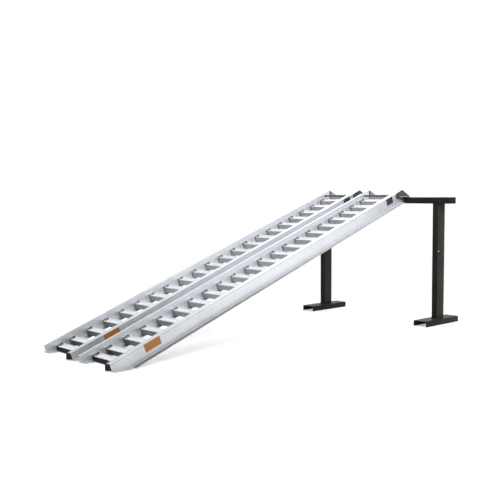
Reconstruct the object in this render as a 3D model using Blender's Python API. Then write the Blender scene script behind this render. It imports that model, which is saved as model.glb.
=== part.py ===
"""Pair of straight aluminium loading ramps on a black steel stand.

Units are metres, +Z up, +X runs up the ramps towards the stand, +Y across.
Each ramp is two rails, twenty-one rungs, two foot plates and a pivot rod.
A lip bracket rests on the stand's beam and carries the rod.
"""
import bpy
import bmesh
import math
from mathutils import Matrix, Vector

# ---------------------------------------------------------------- driving sizes
RAIL_LENGTH = 3.000          # along the rail's top line
RAIL_HEIGHT = 0.100          # normal to the slope
RAIL_WEB = 0.004
FLANGE_T = 0.005
TOP_FLANGE_W = 0.032         # near rail's top flange, inward from the web's outer face
FAR_FLANGE_W = 0.008         # far rail's top bead, outward from the web's outer face
FAR_FLANGE_END = 2.900       # far rail's bead stops here, clear of the lip's ear
LEDGE_W = 0.032              # bottom flange outside the web
BOTTOM_INNER_W = 0.034       # bottom flange inside, from the web's outer face
RAMP_WIDTH = 0.342           # over the webs
SLOPE = math.radians(19.9)
TOE_HEIGHT = 0.0555          # square-cut end of the rail above the floor corner

RUNG_COUNT = 21
RUNG_PITCH = 0.1401
RUNG_TWO_AT = 0.180          # second rung's front edge along the top line
TOE_RUNG_AT = 0.080          # first rung sits closer, over the foot plates
RUNG_DEPTH = 0.045
RUNG_TOP = -0.044            # ridge tops below the rail's top line
RUNG_HEIGHT = 0.038
TOE_RUNG_HEIGHT = 0.031      # shorter so it clears the floor
RUNG_WALL = 0.003
RIDGE_H = 0.004
LUG_W = 0.027                # raised ends where a rung meets the web
LUG_H = 0.006

PLATE_T = 0.008              # foot plate under each rail's floor cut

RAMP_PITCH = 0.447           # near ramp's web to far ramp's web
LIP_RISE = 0.0613            # rail's top corner above the beam's top
BEAM_SETBACK = 0.0242        # rail's end to the beam's front face
TUBE_DEEP = 0.100            # beam and posts, along X
TUBE_THIN = 0.050
TUBE_WALL = 0.003
BEAM_LENGTH = 1.354
BEAM_NEAR_END = -0.430
POST_OVERHANG = 0.095        # beam's near end to the near post's face
FAR_OVERHANG = 0.012         # far post's face to the beam's far end
CHANNEL_LENGTH = 0.445
CHANNEL_FRONT = 0.190        # ahead of the post's front face
CHANNEL_WIDTH = 0.120
CHANNEL_HEIGHT = 0.045
CHANNEL_WALL = 0.004

ROD_R = 0.008
ROD_CLEAR = 0.0001           # radial running clearance in webs and ears
ROD_HEAD_R = 0.013
ROD_HEAD_T = 0.008
PIVOT_BACK = 0.054           # pivot ahead of the rail's vertical end cut
PIVOT_DOWN = 0.0494          # pivot below the rail's top corner
EAR_R = 0.024
CHEEK_T = 0.006
LIP_T = 0.005
LIP_REACH = 0.087            # over the beam from its front face
LIP_END_GAP = 0.012          # rail end to the lip's sloping plate
STOP_DEPTH = 0.034           # stop's reach below the beam's top
WEDGE_W = 0.042              # near rail's wedge, inward from the web's outer face
FAR_WEDGE_W = 0.0105         # far rail's wedge, close beside its web
WEDGE_WALL = 0.005
GAP = 0.0003                 # drawn gap between touching pieces
SIDES = 32

# ---------------------------------------------------------------- derived places
CS, SN = math.cos(SLOPE), math.sin(SLOPE)
TOP_X, TOP_Z = -TOE_HEIGHT * SN, TOE_HEIGHT * CS          # toe's top corner
APEX_X = TOP_X + RAIL_LENGTH * CS
APEX_Z = TOP_Z + RAIL_LENGTH * SN
BEAM_TOP = APEX_Z - LIP_RISE
BEAM_FRONT = APEX_X + BEAM_SETBACK
PIVOT_X, PIVOT_Z = APEX_X - PIVOT_BACK, APEX_Z - PIVOT_DOWN
HEEL_X = TOP_X + (RAIL_HEIGHT - TOE_HEIGHT) * CS / SN * CS + RAIL_HEIGHT * SN
NEAR_POST_Y = BEAM_NEAR_END + POST_OVERHANG
FAR_POST_Y = BEAM_NEAR_END + BEAM_LENGTH - FAR_OVERHANG - TUBE_THIN
CHANNEL_X0 = BEAM_FRONT - CHANNEL_FRONT
CHANNEL_X1 = CHANNEL_X0 + CHANNEL_LENGTH

# the shared frame's origin is the middle of the whole pair's footprint
ORIGIN_X = (TOP_X + CHANNEL_X1) / 2
ORIGIN_Y = (BEAM_NEAR_END + FAR_POST_Y + TUBE_THIN / 2 + CHANNEL_WIDTH / 2) / 2


def clear_scene():
    for ob in list(bpy.data.objects):
        bpy.data.objects.remove(ob, do_unlink=True)
    for block in (bpy.data.meshes, bpy.data.materials, bpy.data.collections):
        for item in list(block):
            block.remove(item)


def make_material(name, colour, metallic, roughness):
    mat = bpy.data.materials.new(name)
    mat.use_nodes = True
    bsdf = mat.node_tree.nodes["Principled BSDF"]
    bsdf.inputs["Base Color"].default_value = (*colour, 1)
    bsdf.inputs["Metallic"].default_value = metallic
    bsdf.inputs["Roughness"].default_value = roughness
    mat.diffuse_color = (*colour, 1)
    return mat


def fillet(points, radii, steps=3):
    """Rounds the corners of a polygon; a radius of 0 keeps a corner sharp."""
    out = []
    n = len(points)
    for i, (p, r) in enumerate(zip(points, radii)):
        p = Vector(p)
        if r <= 0:
            out.append(tuple(p))
            continue
        a = (Vector(points[i - 1]) - p).normalized()
        b = (Vector(points[(i + 1) % n]) - p).normalized()
        half = math.acos(max(-1, min(1, a.dot(b)))) / 2
        cut = r / math.tan(half)
        centre = p + (a + b).normalized() * (r / math.sin(half))
        s = (p + a * cut) - centre
        e = (p + b * cut) - centre
        turn = math.atan2(s.x * e.y - s.y * e.x, s.dot(e))
        for k in range(steps + 1):
            ang = turn * k / steps
            c, d = math.cos(ang), math.sin(ang)
            out.append((centre.x + s.x * c - s.y * d, centre.y + s.x * d + s.y * c))
    return out


def shifted(v):
    return Vector((v[0] - ORIGIN_X, v[1] - ORIGIN_Y, v[2]))


def finish_bmesh(bm, name):
    bmesh.ops.remove_doubles(bm, verts=bm.verts, dist=1e-7)
    bmesh.ops.recalc_face_normals(bm, faces=bm.faces)
    mesh = bpy.data.meshes.new(name)
    bm.to_mesh(mesh)
    bm.free()
    return mesh


def loft(sections, close_ends=True):
    """Closed skin through matching rings of 3-D points."""
    bm = bmesh.new()
    rings = [[bm.verts.new(v) for v in ring] for ring in sections]
    for a, b in zip(rings, rings[1:]):
        for i in range(len(a)):
            j = (i + 1) % len(a)
            bm.faces.new((a[i], a[j], b[j], b[i]))
    if close_ends:
        bm.faces.new(rings[0])
        bm.faces.new(list(reversed(rings[-1])))
    return bm


def tube(outer, inner):
    """Open-ended tube from two pairs of matching rings."""
    bm = bmesh.new()
    o0, o1 = [[bm.verts.new(v) for v in ring] for ring in outer]
    i0, i1 = [[bm.verts.new(v) for v in ring] for ring in inner]
    n = len(o0)
    for i in range(n):
        j = (i + 1) % n
        bm.faces.new((o0[i], o0[j], o1[j], o1[i]))
        bm.faces.new((i0[j], i0[i], i1[i], i1[j]))
        bm.faces.new((o0[j], o0[i], i0[i], i0[j]))
        bm.faces.new((o1[i], o1[j], i1[j], i1[i]))
    return bm


def along_slope(t, n, y):
    """Point t along a ramp's top line, n normal to it, y across."""
    return shifted((TOP_X + t * CS - n * SN, y, TOP_Z + t * SN + n * CS))


def add_object(name, mesh, mat, origin):
    mesh.name = name
    mesh.transform(Matrix.Translation(-origin))
    ob = bpy.data.objects.new(name, mesh)
    ob.location = origin
    ob.data.materials.clear()
    ob.data.materials.append(mat)
    bpy.context.scene.collection.objects.link(ob)
    return ob


def helper(name, mesh):
    ob = bpy.data.objects.new(name, mesh)
    bpy.context.scene.collection.objects.link(ob)
    ob.hide_render = True
    ob.display_type = 'WIRE'
    return ob


def boolean(ob, other, operation):
    mod = ob.modifiers.new(operation.lower() + "_" + other.name, 'BOOLEAN')
    mod.operation = operation
    mod.solver = 'EXACT'
    mod.object = other


def cylinder(p, axis_len, radius, sides=SIDES):
    """Cylinder along +Y from point p."""
    rings = []
    for y in (0.0, axis_len):
        rings.append([(p[0] + radius * math.cos(2 * math.pi * k / sides), p[1] + y,
                       p[2] + radius * math.sin(2 * math.pi * k / sides)) for k in range(sides)])
    return loft([[shifted(v) for v in ring] for ring in rings])


# ---------------------------------------------------------------- ramp pieces
def rail_mesh(name, y_web, inward):
    """Rail with a foot flange both ways.

    The near rail's top flange turns inward. The far rail has a small bead outside
    its web, which stops short of the lip's ear.
    """
    w, f = RAIL_WEB, FLANGE_T
    h = RAIL_HEIGHT
    foot = [(-LEDGE_W, -h), (BOTTOM_INNER_W, -h), (BOTTOM_INNER_W, -h + f), (w, -h + f)]
    if inward > 0:
        head = [(w, -f), (TOP_FLANGE_W, -f), (TOP_FLANGE_W, 0), (0, 0)]
        head_radii = [0.003, 0.0015, 0.0015, 0.002]
    else:
        head = [(w, 0), (-FAR_FLANGE_W, 0), (-FAR_FLANGE_W, -f), (0, -f)]
        head_radii = [0.002, 0.0015, 0.0015, 0]
    profile = foot + head + [(0, -h + f), (-LEDGE_W, -h + f)]
    profile = fillet(profile, [0.0015, 0.0015, 0.0015, 0.003] + head_radii + [0.002, 0.0015], 2)
    trimmed = [(max(y, 0.0002) if n > -h / 2 and y < 0 else y, n) for y, n in profile]
    stations = [(-0.02, profile), (RAIL_LENGTH + 0.08, profile)]
    if inward < 0:
        stations = [(-0.02, profile), (FAR_FLANGE_END, profile), (FAR_FLANGE_END + 0.0004, trimmed),
                    (RAIL_LENGTH + 0.08, trimmed)]
    bm = loft([[along_slope(t, n, y_web + inward * y) for y, n in section] for t, section in stations])
    cuts = ((along_slope(0, 0, 0), Vector((-CS, 0, -SN))),
            (shifted((0, 0, PLATE_T + GAP)), Vector((0, 0, -1))),
            (shifted((APEX_X, 0, 0)), Vector((1, 0, 0))))
    for point, normal in cuts:
        geom = bm.verts[:] + bm.edges[:] + bm.faces[:]
        bmesh.ops.bisect_plane(bm, geom=geom, dist=1e-7, plane_co=point, plane_no=normal, clear_outer=True)
        edge = [e for e in bm.edges if e.is_boundary]
        bmesh.ops.contextual_create(bm, geom=edge)
    return finish_bmesh(bm, name)


def rung_mesh(name, t0, height, y0, y1):
    """Open-bottomed rung with two grip ridges and a raised lug at each end."""
    d, w, top, lip = RUNG_DEPTH, RUNG_WALL, RUNG_TOP, 0.010
    base = top - height
    flat = top - RIDGE_H
    under = [(d, base), (d - lip, base), (d - lip, base + w), (d - w, base + w), (d - w, flat - w),
             (w, flat - w), (w, base + w), (lip, base + w), (lip, base), (0, base)]
    tread = [(0, top), (0.005, top), (0.007, flat), (d - 0.007, flat), (d - 0.005, top), (d, top)]
    raised = [(t, top + LUG_H) for t, n in tread]
    stations = [(y0, raised), (y0 + LUG_W - 0.004, raised), (y0 + LUG_W, tread),
                (y1 - LUG_W, tread), (y1 - LUG_W + 0.004, raised), (y1, raised)]
    bm = loft([[along_slope(t0 + t, n, y) for t, n in head + under] for y, head in stations])
    return finish_bmesh(bm, name)


def plate_mesh(name, y0, y1):
    """Foot plate with a turned-up toe chamfer and small end chamfers."""
    x0, x1, t = -0.004, HEEL_X - 0.002, PLATE_T
    profile = [(x0 + 0.006, 0), (x1 - 0.001, 0), (x1, 0.001), (x1, t - 0.001), (x1 - 0.001, t), (x0 + 0.001, t),
               (x0, t - 0.001), (x0, 0.0035)]
    bm = loft([[shifted((x, y, z)) for x, z in profile] for y in (y0, y1)])
    return finish_bmesh(bm, name)


def rod_mesh(name, y0, y1):
    """Rod with a head at each end, turned about the pivot axis."""
    h, c = ROD_HEAD_T, 0.0015
    steps = [(y0, ROD_HEAD_R - c), (y0 + c, ROD_HEAD_R), (y0 + h, ROD_HEAD_R), (y0 + h, ROD_R),
             (y1 - h, ROD_R), (y1 - h, ROD_HEAD_R), (y1 - c, ROD_HEAD_R), (y1, ROD_HEAD_R - c)]
    rings = [[shifted((PIVOT_X + r * math.cos(2 * math.pi * k / SIDES), y,
                       PIVOT_Z + r * math.sin(2 * math.pi * k / SIDES))) for k in range(SIDES)] for y, r in steps]
    return finish_bmesh(loft(rings), name)


def wedge_line():
    """Upper end and tip (x, z) of the wedge's sloping top."""
    return (APEX_X + LIP_END_GAP, APEX_Z - 0.006), (BEAM_FRONT + LIP_REACH, BEAM_TOP + GAP + LIP_T + 0.001)


def base_section():
    """Side view of the lip's base plate on the beam, with its stop in front."""
    (xs, zs), (xt, ztip) = wedge_line()
    zb = BEAM_TOP + GAP
    back = BEAM_FRONT - GAP
    return [(back, zb), (xt, zb), (xt + 0.0015, zb + 0.002), (xt, zb + LIP_T), (xs, zb + LIP_T),
            (xs, BEAM_TOP - STOP_DEPTH), (back, BEAM_TOP - STOP_DEPTH)]


def roof_section():
    """Side view of a wedge's sloping plate."""
    (xs, zs), (xt, ztip) = wedge_line()
    drop = LIP_T * 1.13
    return [(xs, zs), (xs, zs - drop), (xt - 0.001, BEAM_TOP + GAP + 0.001), (xt - 0.001, ztip)]


def inner_cheek_section():
    """Side view of a wedge's inner wall."""
    (xs, zs), (xt, ztip) = wedge_line()
    zb = BEAM_TOP + GAP + 0.0015
    return [(xs + 0.001, zb), (xt - 0.003, zb), (xt - 0.003, ztip - 0.0005), (xs + 0.001, zs - 0.0015)]


def cheek_section():
    """Outer cheek: ear round the pivot, running back and down to the tip."""
    ear = []
    for k in range(13):
        ang = math.radians(112 + (268 - 112) * k / 12)
        ear.append((PIVOT_X + EAR_R * math.cos(ang), PIVOT_Z + EAR_R * math.sin(ang)))
    xt = BEAM_FRONT + LIP_REACH - 0.002
    zb = BEAM_TOP + GAP + 0.0005
    back = BEAM_FRONT - GAP - 0.0005
    return ear + [(back, BEAM_TOP - STOP_DEPTH + 0.006), (back, zb), (xt, zb), (xt, zb + 0.0056),
                  (APEX_X + 0.004, APEX_Z - 0.001)]


def extrude_section(section, y0, y1):
    return loft([[shifted((x, y, z)) for x, z in section] for y in (y0, y1)])


def build_ramp(prefix, y_web, mats):
    pivot = shifted((PIVOT_X, y_web + RAMP_WIDTH / 2, PIVOT_Z))
    y_far = y_web + RAMP_WIDTH
    cheek_in, cheek_out = GAP, GAP + CHEEK_T

    bore = helper("cut_" + prefix + "_rod",
                  finish_bmesh(cylinder((PIVOT_X, y_web - 0.03, PIVOT_Z), RAMP_WIDTH + 0.06, ROD_R + ROD_CLEAR), "bore"))

    for side, y, inward in (("near", y_web, 1), ("far", y_far, -1)):
        ob = add_object(prefix + "_rail_" + side, rail_mesh("rail", y, inward), mats["rail"], pivot)
        boolean(ob, bore, 'DIFFERENCE')
        y_out, y_in = y - inward * LEDGE_W, y + inward * BOTTOM_INNER_W
        add_object(prefix + "_foot_plate_" + side, plate_mesh("plate", min(y_out, y_in), max(y_out, y_in)),
                   mats["plate"], pivot)

    inside = RAIL_WEB + GAP
    for k in range(1, RUNG_COUNT + 1):
        if k == 1:
            t0, height = TOE_RUNG_AT, TOE_RUNG_HEIGHT
        else:
            t0, height = RUNG_TWO_AT + RUNG_PITCH * (k - 2), RUNG_HEIGHT
        add_object("%s_rung_%02d" % (prefix, k), rung_mesh("rung", t0, height, y_web + inside, y_far - inside),
                   mats["rung"], pivot)

    head = cheek_out + GAP + ROD_HEAD_T
    add_object(prefix + "_pivot_rod", rod_mesh("rod", y_web - head, y_far + head), mats["rod"], pivot)

    over = cheek_out - 0.001
    lip = add_object(prefix + "_lip_bracket",
                     finish_bmesh(extrude_section(base_section(), y_web - over, y_far + over), "lip"), mats["lip"], pivot)
    for tag, edge, inward, width in (("near", y_web, 1, WEDGE_W), ("far", y_far, -1, FAR_WEDGE_W)):
        for part, section, a, b in (("cheek", cheek_section(), -cheek_out, -cheek_in),
                                    ("roof", roof_section(), -over, width - 0.001),
                                    ("wall", inner_cheek_section(), width - WEDGE_WALL, width)):
            lo, hi = sorted((edge + inward * a, edge + inward * b))
            piece = helper("add_%s_%s_%s" % (prefix, part, tag), finish_bmesh(extrude_section(section, lo, hi), part))
            boolean(lip, piece, 'UNION')
    boolean(lip, bore, 'DIFFERENCE')


# ---------------------------------------------------------------- stand pieces
def rect_ring(a0, a1, b0, b1, r, steps=3):
    return fillet([(a0, b0), (a1, b0), (a1, b1), (a0, b1)], [r] * 4, steps)


def build_stand(mats):
    x0, x1 = BEAM_FRONT, BEAM_FRONT + TUBE_DEEP
    w = TUBE_WALL
    beam_mid = shifted(((x0 + x1) / 2, BEAM_NEAR_END + BEAM_LENGTH / 2, BEAM_TOP - TUBE_THIN / 2))
    zo = rect_ring(x0, x1, BEAM_TOP - TUBE_THIN, BEAM_TOP, 0.005)
    zi = rect_ring(x0 + w, x1 - w, BEAM_TOP - TUBE_THIN + w, BEAM_TOP - w, 0.0025)
    ys = (BEAM_NEAR_END, BEAM_NEAR_END + BEAM_LENGTH)
    bm = tube([[shifted((x, y, z)) for x, z in zo] for y in ys], [[shifted((x, y, z)) for x, z in zi] for y in ys])
    add_object("stand_beam", finish_bmesh(bm, "beam"), mats["stand"], beam_mid)

    zs = (CHANNEL_HEIGHT + GAP, BEAM_TOP - TUBE_THIN - GAP)
    for tag, y in (("near", NEAR_POST_Y), ("far", FAR_POST_Y)):
        po = rect_ring(x0, x1, y, y + TUBE_THIN, 0.005)
        pi = rect_ring(x0 + w, x1 - w, y + w, y + TUBE_THIN - w, 0.0025)
        bm = tube([[shifted((a, b, z)) for a, b in po] for z in zs], [[shifted((a, b, z)) for a, b in pi] for z in zs])
        mid = shifted(((x0 + x1) / 2, y + TUBE_THIN / 2, CHANNEL_HEIGHT))
        add_object("stand_post_" + tag, finish_bmesh(bm, "post"), mats["post"], mid)

        yc, hw, h, t = y + TUBE_THIN / 2, CHANNEL_WIDTH / 2, CHANNEL_HEIGHT, CHANNEL_WALL
        profile = [(yc - hw, 0), (yc - hw + t, 0), (yc - hw + t, h - t), (yc + hw - t, h - t), (yc + hw - t, 0),
                   (yc + hw, 0), (yc + hw, h), (yc - hw, h)]
        profile = fillet(profile, [0.001, 0.001, 0.003, 0.003, 0.001, 0.001, 0.005, 0.005], 3)
        bm = loft([[shifted((x, a, b)) for a, b in profile] for x in (CHANNEL_X0, CHANNEL_X1)])
        add_object("stand_foot_channel_" + tag, finish_bmesh(bm, "channel"), mats["channel"], mid)


def main():
    clear_scene()
    mats = {
        "rail": make_material("rail_aluminium", (0.78, 0.79, 0.80), 1.0, 0.38),
        "rung": make_material("rung_aluminium", (0.74, 0.75, 0.76), 1.0, 0.42),
        "plate": make_material("foot_plate_aluminium", (0.66, 0.67, 0.68), 1.0, 0.5),
        "rod": make_material("rod_zinc_steel", (0.62, 0.62, 0.60), 1.0, 0.35),
        "lip": make_material("lip_aluminium", (0.55, 0.56, 0.57), 1.0, 0.45),
        "stand": make_material("beam_black_paint", (0.028, 0.028, 0.030), 0.0, 0.45),
        "post": make_material("post_black_paint", (0.030, 0.029, 0.030), 0.0, 0.45),
        "channel": make_material("channel_black_paint", (0.035, 0.035, 0.036), 0.0, 0.4),
    }
    build_ramp("near_ramp", 0.0, mats)
    build_ramp("far_ramp", RAMP_PITCH, mats)
    build_stand(mats)


main()
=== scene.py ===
# %% [markdown]
# # A pair of loading ramps on a stand
# Two ladder-type aluminium ramps lean on the beam of a black steel stand. Each
# ramp hangs from a lip that hooks over the beam and turns on a rod. The packed
# CAD model is loaded first, because it fixes the size of every piece and says
# which body each one moves with. The detailed pieces are then made round it.

import bpy
import bmesh
import math
from mathutils import Matrix, Vector


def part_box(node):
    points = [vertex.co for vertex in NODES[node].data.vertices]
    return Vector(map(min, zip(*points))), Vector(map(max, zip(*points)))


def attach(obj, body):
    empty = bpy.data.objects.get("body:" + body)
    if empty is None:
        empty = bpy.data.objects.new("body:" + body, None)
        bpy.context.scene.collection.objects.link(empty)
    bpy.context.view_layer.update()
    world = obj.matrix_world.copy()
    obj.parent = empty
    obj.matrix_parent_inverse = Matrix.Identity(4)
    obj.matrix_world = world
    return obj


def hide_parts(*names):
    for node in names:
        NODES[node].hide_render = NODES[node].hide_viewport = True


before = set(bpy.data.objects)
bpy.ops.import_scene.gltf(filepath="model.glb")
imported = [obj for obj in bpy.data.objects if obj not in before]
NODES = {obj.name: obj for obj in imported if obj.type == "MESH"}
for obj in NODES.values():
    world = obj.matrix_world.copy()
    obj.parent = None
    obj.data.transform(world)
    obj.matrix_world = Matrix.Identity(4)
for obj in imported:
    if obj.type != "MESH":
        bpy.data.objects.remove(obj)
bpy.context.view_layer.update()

# %% [markdown]
# The slope, the rail section and the rung spacing are written once here. Places
# come from the CAD boxes, so a new pack moves the detailed pieces with it. A
# point on a ramp is easiest to give as a distance along the top line, a height
# normal to it, and a place across, so one function turns that into the frame.

# %% Sizes and the slope's own coordinates
SLOPE = math.radians(19.9)
TOE_HEIGHT = 0.0555
RAIL_LENGTH, RAIL_HEIGHT, RAIL_WEB, FLANGE = 3.000, 0.100, 0.004, 0.005
TOP_FLANGE_W, LEDGE_W, BOTTOM_INNER_W = 0.032, 0.032, 0.034
RAMP_WIDTH = 0.342
RUNG_PITCH, RUNG_DEPTH, RUNG_TOP, LUG_W, LUG_H, RIDGE_H = 0.1401, 0.045, -0.044, 0.027, 0.006, 0.004
RUNG_HEIGHT, TOE_RUNG_HEIGHT, TOE_RUNG_AT, RUNG_TWO_AT = 0.038, 0.031, 0.080, 0.180
FAR_FLANGE_W, FAR_FLANGE_END = 0.008, 2.900
CS, SN = math.cos(SLOPE), math.sin(SLOPE)
TOE = Vector((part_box("near_ramp_rail_near")[0].x, 0, TOE_HEIGHT * CS))
FOOT_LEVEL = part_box("near_ramp_rail_near")[0].z
RAIL_END_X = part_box("near_ramp_rail_near")[1].x
WEB_Y = {p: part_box(p + "_ramp_rail_near")[0].y + LEDGE_W for p in ("near", "far")}


def on_slope(t, y, n):
    """Point t along the top line, y across, n normal to the slope."""
    return Vector((TOE.x + t * CS - n * SN, y, TOE.z + t * SN + n * CS))


print("webs at", WEB_Y)

# %% [markdown]
# Most of these pieces are straight extrusions, so three helpers go a long way:
# one rounds the corners of a drawn section, one skins a row of sections, and one
# turns the result into a named object.

# %% Mesh helpers


def rounded(points, radii, steps=3):
    """The polygon with each corner rounded to its radius."""
    out = []
    for i, (corner, radius) in enumerate(zip(points, radii)):
        p = Vector(corner)
        if radius <= 0:
            out.append(tuple(p))
            continue
        a = (Vector(points[i - 1]) - p).normalized()
        b = (Vector(points[(i + 1) % len(points)]) - p).normalized()
        half = math.acos(max(-1, min(1, a.dot(b)))) / 2
        centre = p + (a + b).normalized() * (radius / math.sin(half))
        start, end = p + a * (radius / math.tan(half)) - centre, p + b * (radius / math.tan(half)) - centre
        turn = math.atan2(start.x * end.y - start.y * end.x, start.dot(end))
        for k in range(steps + 1):
            out.append(tuple(centre + Matrix.Rotation(turn * k / steps, 2) @ start))
    return out


def skin(sections):
    """Closed bmesh through matching rings of points."""
    bm = bmesh.new()
    rings = [[bm.verts.new(v) for v in ring] for ring in sections]
    for a, b in zip(rings, rings[1:]):
        for i in range(len(a)):
            j = (i + 1) % len(a)
            bm.faces.new((a[i], a[j], b[j], b[i]))
    bm.faces.new(rings[0])
    bm.faces.new(list(reversed(rings[-1])))
    bmesh.ops.recalc_face_normals(bm, faces=bm.faces)
    return bm


def as_object(name, bm_or_mesh, material=None):
    """A named object in the scene, from a bmesh or a mesh."""
    mesh = bm_or_mesh
    if isinstance(bm_or_mesh, bmesh.types.BMesh):
        mesh = bpy.data.meshes.new(name)
        bm_or_mesh.to_mesh(mesh)
        bm_or_mesh.free()
    obj = bpy.data.objects.new(name, mesh)
    bpy.context.scene.collection.objects.link(obj)
    if material:
        mesh.materials.clear()
        mesh.materials.append(material)
    return obj


def settle(obj):
    """Turns the object's modifiers into plain mesh."""
    graph = bpy.context.evaluated_depsgraph_get()
    mesh = bpy.data.meshes.new_from_object(obj.evaluated_get(graph), depsgraph=graph)
    obj.modifiers.clear()
    obj.data = mesh
    return obj


def soften(obj, width, segments=2, angle=35):
    """Rounds sharp edges by a small bevel and keeps flat faces flat."""
    bevel = obj.modifiers.new("small_round", "BEVEL")
    bevel.width, bevel.segments = width, segments
    bevel.limit_method, bevel.angle_limit = "ANGLE", math.radians(angle)
    bevel.harden_normals = False
    settle(obj)
    bm = bmesh.new()
    bm.from_mesh(obj.data)
    for face in bm.faces:
        face.smooth = True
    for edge in bm.edges:
        edge.smooth = edge.calc_face_angle(0) < math.radians(40)
    bm.to_mesh(obj.data)
    bm.free()
    return obj


def from_cad(node, name, material, width=0.001):
    """The CAD piece with merged faces and softened edges."""
    bm = bmesh.new()
    bm.from_mesh(NODES[node].data)
    bmesh.ops.remove_doubles(bm, verts=bm.verts, dist=1e-6)
    bmesh.ops.dissolve_limit(bm, angle_limit=math.radians(0.5), verts=bm.verts, edges=bm.edges)
    return soften(as_object(name, bm, material), width)


# %% [markdown]
# ## Finishes
# Mill aluminium is never one even tone. Drawing through the die leaves fine lines
# along the length, handling leaves short scratches, and the lower end gets dusty.
# On the rung sides, rung ends and rail ledge that darkening towards the ground is
# painted shade.
# Each of these is a shader node group, made once, with its own named inputs, so a
# rail and a rung can use the same group at different strengths.

# %% Shader helpers


def add_sockets(tree, inputs, outputs):
    """Named float, vector or colour sockets on a node group."""
    kinds = {"f": "NodeSocketFloat", "v": "NodeSocketVector", "c": "NodeSocketColor"}
    for name, kind, default in inputs:
        item = tree.interface.new_socket(name, in_out="INPUT", socket_type=kinds[kind])
        if default is not None:
            item.default_value = default
    for name, kind in outputs:
        tree.interface.new_socket(name, in_out="OUTPUT", socket_type=kinds[kind])


def place(tree, kind, **values):
    """Adds a node and sets its properties or its input sockets by name."""
    node = tree.nodes.new(kind)
    for key, value in values.items():
        name = key.replace("_", " ")
        if hasattr(node, key) and key not in ("inputs",):
            setattr(node, key, value)
        else:
            socket = next(s for s in node.inputs if s.name.lower() == name.lower())
            socket.default_value = value
    return node


def wire(tree, source, target, out=0, into=0):
    """Joins an output socket to an input socket, by index or name."""
    tree.links.new(source.outputs[out], target.inputs[into])


def curve_range(tree, source, low, high, to_low=0.0, to_high=1.0, out=0):
    """A clamped smooth map from one range of numbers to another."""
    node = place(tree, "ShaderNodeMapRange", interpolation_type="SMOOTHSTEP")
    for index, value in ((1, low), (2, high), (3, to_low), (4, to_high)):
        node.inputs[index].default_value = value
    wire(tree, source, node, out)
    return node


# %% [markdown]
# Die lines are noise stretched thin along the slope. The Mapping node first turns
# the object's coordinates so that one axis runs along the rail.

# %% Group: die lines


def make_die_lines():
    tree = bpy.data.node_groups.new("die lines", "ShaderNodeTree")
    add_sockets(tree, [("Vector", "v", None), ("Fineness", "f", 260.0)], [("Lines", "f"), ("Broad", "f")])
    start, end = tree.nodes.new("NodeGroupInput"), tree.nodes.new("NodeGroupOutput")
    stretch = place(tree, "ShaderNodeVectorMath", operation="MULTIPLY")
    stretch.inputs[1].default_value = (0.012, 1.0, 1.0)
    wire(tree, start, stretch)
    fine = place(tree, "ShaderNodeTexNoise", Detail=3.0, Roughness=0.6)
    wire(tree, stretch, fine)
    tree.links.new(start.outputs["Fineness"], fine.inputs["Scale"])
    broad = place(tree, "ShaderNodeTexNoise", Scale=22.0, Detail=2.0)
    wire(tree, stretch, broad)
    wire(tree, fine, end, "Fac", 0)
    wire(tree, broad, end, "Fac", 1)
    return tree


DIE_LINES = make_die_lines()

# %% [markdown]
# Scuffs are two layers: cloudy handling marks, and short scratches taken from the
# thin borders of a stretched cell pattern. A higher amount lets more through.

# %% Group: scuffs


def make_scuffs():
    tree = bpy.data.node_groups.new("scuffs", "ShaderNodeTree")
    add_sockets(tree, [("Vector", "v", None), ("Amount", "f", 0.5)], [("Clouds", "f"), ("Scratches", "f")])
    start, end = tree.nodes.new("NodeGroupInput"), tree.nodes.new("NodeGroupOutput")
    cloud = place(tree, "ShaderNodeTexNoise", Scale=7.0, Detail=6.0, Roughness=0.62)
    wire(tree, start, cloud)
    soft = curve_range(tree, cloud, 0.38, 0.68, out="Fac")
    bend = place(tree, "ShaderNodeTexNoise", Scale=9.0, Detail=1.0)
    wire(tree, start, bend)
    shift = place(tree, "ShaderNodeVectorMath", operation="MULTIPLY_ADD")
    shift.inputs[1].default_value = (0.06, 0.06, 0.06)
    tree.links.new(bend.outputs["Color"], shift.inputs[0])
    tree.links.new(start.outputs["Vector"], shift.inputs[2])
    long = place(tree, "ShaderNodeVectorMath", operation="MULTIPLY")
    long.inputs[1].default_value = (9.0, 60.0, 60.0)
    wire(tree, shift, long)
    cells = place(tree, "ShaderNodeTexVoronoi", feature="DISTANCE_TO_EDGE")
    cells.inputs["Scale"].default_value = 1.0
    wire(tree, long, cells)
    thin = curve_range(tree, cells, 0.0, 0.035, 1.0, 0.0)
    patch = place(tree, "ShaderNodeTexNoise", Scale=16.0, Detail=2.0)
    wire(tree, start, patch)
    gate = curve_range(tree, patch, 0.56, 0.70, out="Fac")
    for source, slot_index in ((soft, 0), (None, 1)):
        both = place(tree, "ShaderNodeMath", operation="MULTIPLY")
        if source is None:
            source = place(tree, "ShaderNodeMath", operation="MULTIPLY")
            wire(tree, thin, source)
            wire(tree, gate, source, 0, 1)
        wire(tree, source, both)
        tree.links.new(start.outputs["Amount"], both.inputs[1])
        wire(tree, both, end, 0, slot_index)
    return tree


SCUFFS = make_scuffs()

# %% [markdown]
# Ground dirt is strongest where the piece meets the ground and fades with height,
# broken up by noise so that the edge isn't a ruled line. On the rung sides, rung
# ends and rail ledge the same darkening is painted shade.

# %% Group: ground dirt and painted shade


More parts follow.
